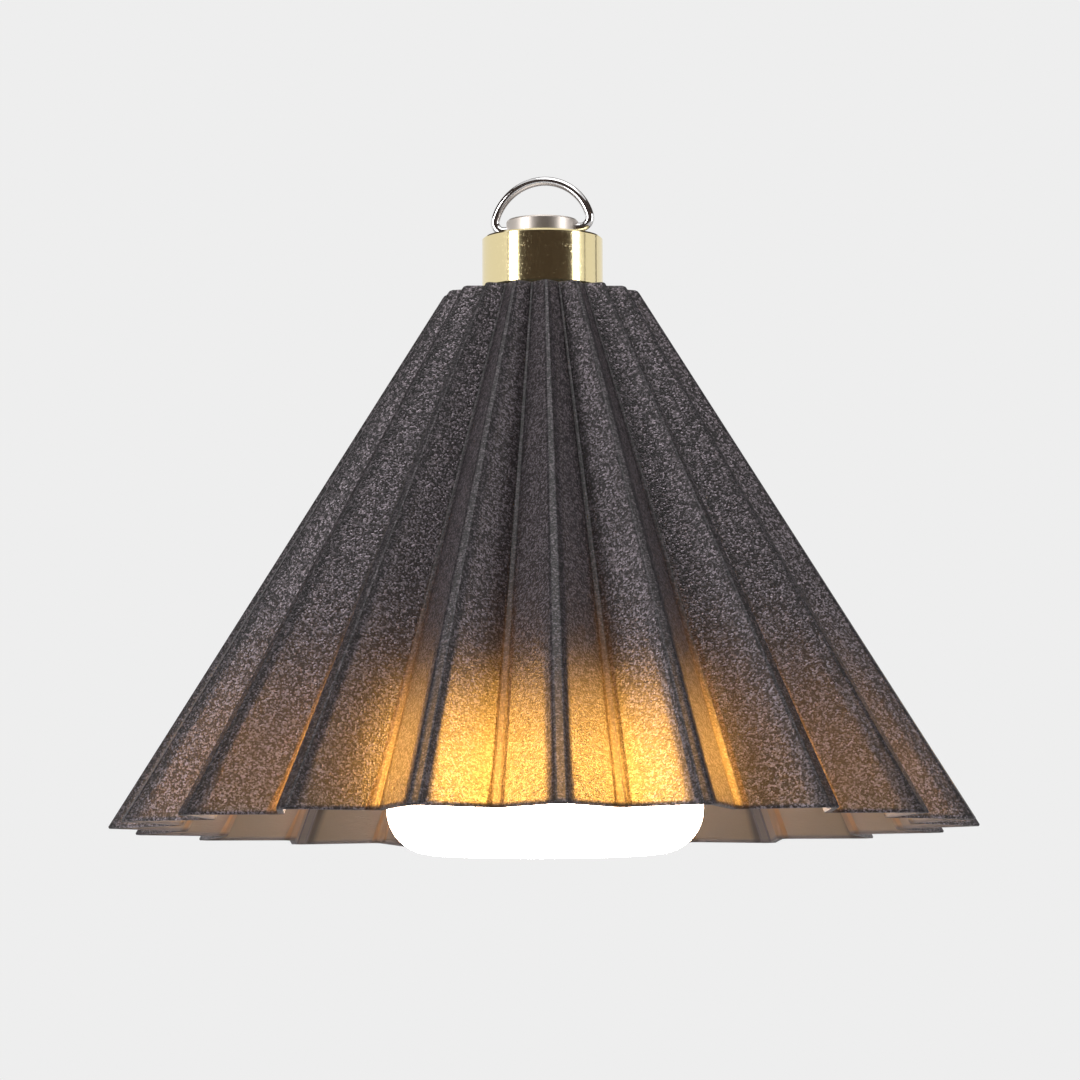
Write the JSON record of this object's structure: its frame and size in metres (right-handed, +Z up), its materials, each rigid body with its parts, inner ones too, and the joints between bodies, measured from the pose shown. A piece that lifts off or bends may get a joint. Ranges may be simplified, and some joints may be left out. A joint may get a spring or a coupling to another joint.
{
  "type": "pleated hanging lantern",
  "caption": "Cone-shaped pleated lantern shade of smoke plastic with a brass collar and hanging ring, over a rechargeable light with an opal drum diffuser.",
  "frame": {"origin": "centre of the diffuser's flat underside, on the lantern's axis, at the bottom of the whole part", "axes": "+Z up the lantern's axis through the collar and ring; -Y is the front seen in the picture, +Y the side with the charging port, +X the side with the power button"},
  "size_m": [0.2, 0.2, 0.1572],
  "materials": {
    "smoke_plastic": "translucent smoke grey, fine leather grain outside, satin inside",
    "brass": "turned and polished, fine lathe lines",
    "ring_steel": "polished wire",
    "screw_steel": "satin nickel, turned",
    "rubber": "matte",
    "anodised": "black anodised, bead blasted",
    "bare_aluminium": "milled",
    "opal": "opal white, satin, lit from inside",
    "white_board": "white solder mask",
    "green_board": "green solder mask",
    "led": "warm phosphor in a white frame",
    "cell_wrap": "shrink sleeve, plain",
    "nylon": "natural",
    "contact": "nickel plated strip",
    "zinc_screw": "zinc plated",
    "pillar_brass": "turned, nickel free",
    "socket_steel": "drawn shell",
    "switch_black": "moulded",
    "button_grey": "soft touch"
  },
  "bodies": {
    "lantern": {"pleated_shade": "smoke_plastic", "brass_collar": "brass", "collar_gasket": "rubber", "ring_screw": "screw_steel", "body_tube": "anodised", "tube_cap": "bare_aluminium", "battery_cell": "cell_wrap", "battery_sleeve": "nylon", "top_contact": "contact", "bottom_contact": "contact", "diffuser": "opal", "diffuser_seal": "rubber", "head_housing": "anodised", "heat_spreader": "bare_aluminium", "led_board": "white_board", "led_chips": "led", "led_board_screws": "zinc_screw", "standoffs": "pillar_brass", "driver_board": "green_board", "driver_screws": "zinc_screw", "charging_socket": "socket_steel", "button_switch": "switch_black"},
    "ring": {"hanging_ring": "ring_steel"},
    "button": {"power_button": "button_grey"},
    "flap": {"port_flap": "rubber"}
  },
  "joints": [
    {"name": "ring_swing", "type": "hinge", "parent": "lantern", "child": "ring", "pos_m": [0, 0, 0.14485], "axis": [0.9563, -0.2924, 0], "range_deg": [-94, 94]},
    {"name": "button_press", "type": "slide", "parent": "lantern", "child": "button", "axis": [-1, 0, 0], "range_m": [0, 0.0007], "stiffness_N_per_m": 500},
    {"name": "flap_open", "type": "hinge", "parent": "lantern", "child": "flap", "pos_m": [0, 0.0363, 0.04387], "axis": [-1, 0, 0], "range_deg": [0, 110]}
  ]
}
